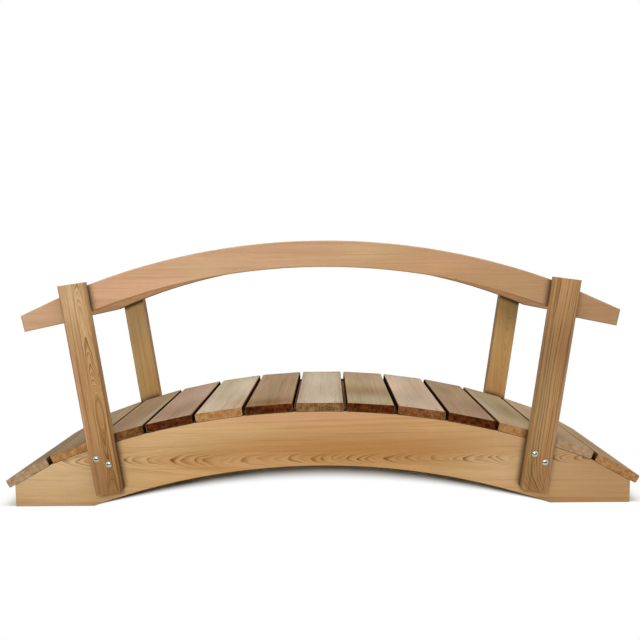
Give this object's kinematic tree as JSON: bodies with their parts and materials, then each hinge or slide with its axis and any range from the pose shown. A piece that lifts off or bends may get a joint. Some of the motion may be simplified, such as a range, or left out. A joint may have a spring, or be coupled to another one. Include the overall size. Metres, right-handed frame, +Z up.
{
  "type": "arched garden footbridge",
  "caption": "Arched cedar footbridge: two curved beams carry a slatted deck, and leaning posts bolted outside them carry curved handrails.",
  "frame": {"origin": "on the ground, under the middle of the bridge", "axes": "+X along the span, +Y across it towards the rear side, +Z up"},
  "size_m": [1.882, 0.6348, 0.782],
  "materials": {
    "beam_wood": "planed cedar, oiled",
    "plank_wood": "rough cedar decking",
    "post_wood": "planed cedar, oiled",
    "rail_wood": "planed cedar",
    "bolt_metal": "bright zinc-plated steel"
  },
  "bodies": {
    "root": {"beam_front": "beam_wood", "beam_rear": "beam_wood", "plank_01": "plank_wood", "plank_02": "plank_wood", "plank_03": "plank_wood", "plank_04": "plank_wood", "plank_05": "plank_wood", "plank_06": "plank_wood", "plank_07": "plank_wood", "plank_08": "plank_wood", "plank_09": "plank_wood", "plank_10": "plank_wood", "plank_11": "plank_wood", "plank_12": "plank_wood", "plank_13": "plank_wood", "post_front_left": "post_wood", "post_front_right": "post_wood", "post_rear_left": "post_wood", "post_rear_right": "post_wood", "handrail_front": "rail_wood", "handrail_rear": "rail_wood"}
  },
  "joints": []
}
